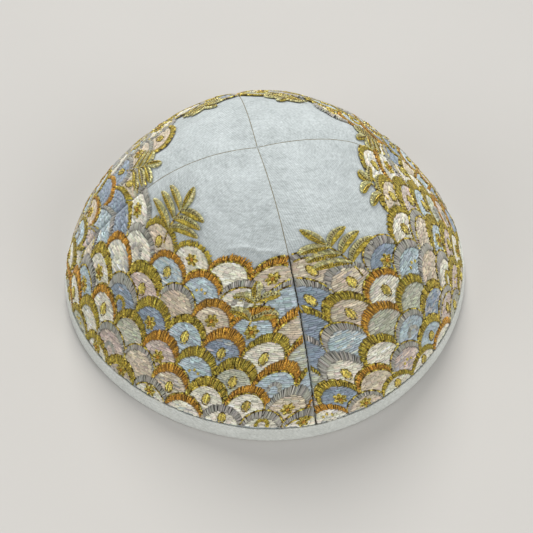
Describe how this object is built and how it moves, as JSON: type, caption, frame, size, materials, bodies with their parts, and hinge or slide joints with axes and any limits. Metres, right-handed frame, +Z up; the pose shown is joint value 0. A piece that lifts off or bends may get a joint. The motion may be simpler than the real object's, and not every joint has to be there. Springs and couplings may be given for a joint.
{
  "type": "embroidered kippah",
  "caption": "Round domed cloth skullcap of joined panels with a raised band of metallic and coloured thread and a folded rim binding; it is worn on the crown of the head.",
  "frame": {"origin": "centre of the rim, on the surface that the cap stands on", "axes": "+Z up through the crown; the front of the cap, nearest the viewer, looks along -Y"},
  "size_m": [0.1908, 0.1908, 0.0778],
  "materials": {
    "crown_cloth": "matte woven cotton",
    "binding_tape": "matte bias tape",
    "embroidery_thread": "satin stitch in metallic and rayon thread"
  },
  "bodies": {
    "root": {"rim_binding": "binding_tape", "crown_panel_front_right": "crown_cloth", "crown_panel_back_right": "crown_cloth", "crown_panel_back_left": "crown_cloth", "crown_panel_front_left": "crown_cloth", "embroidery_front_right": "embroidery_thread", "embroidery_back_right": "embroidery_thread", "embroidery_back_left": "embroidery_thread", "embroidery_front_left": "embroidery_thread"}
  },
  "joints": []
}
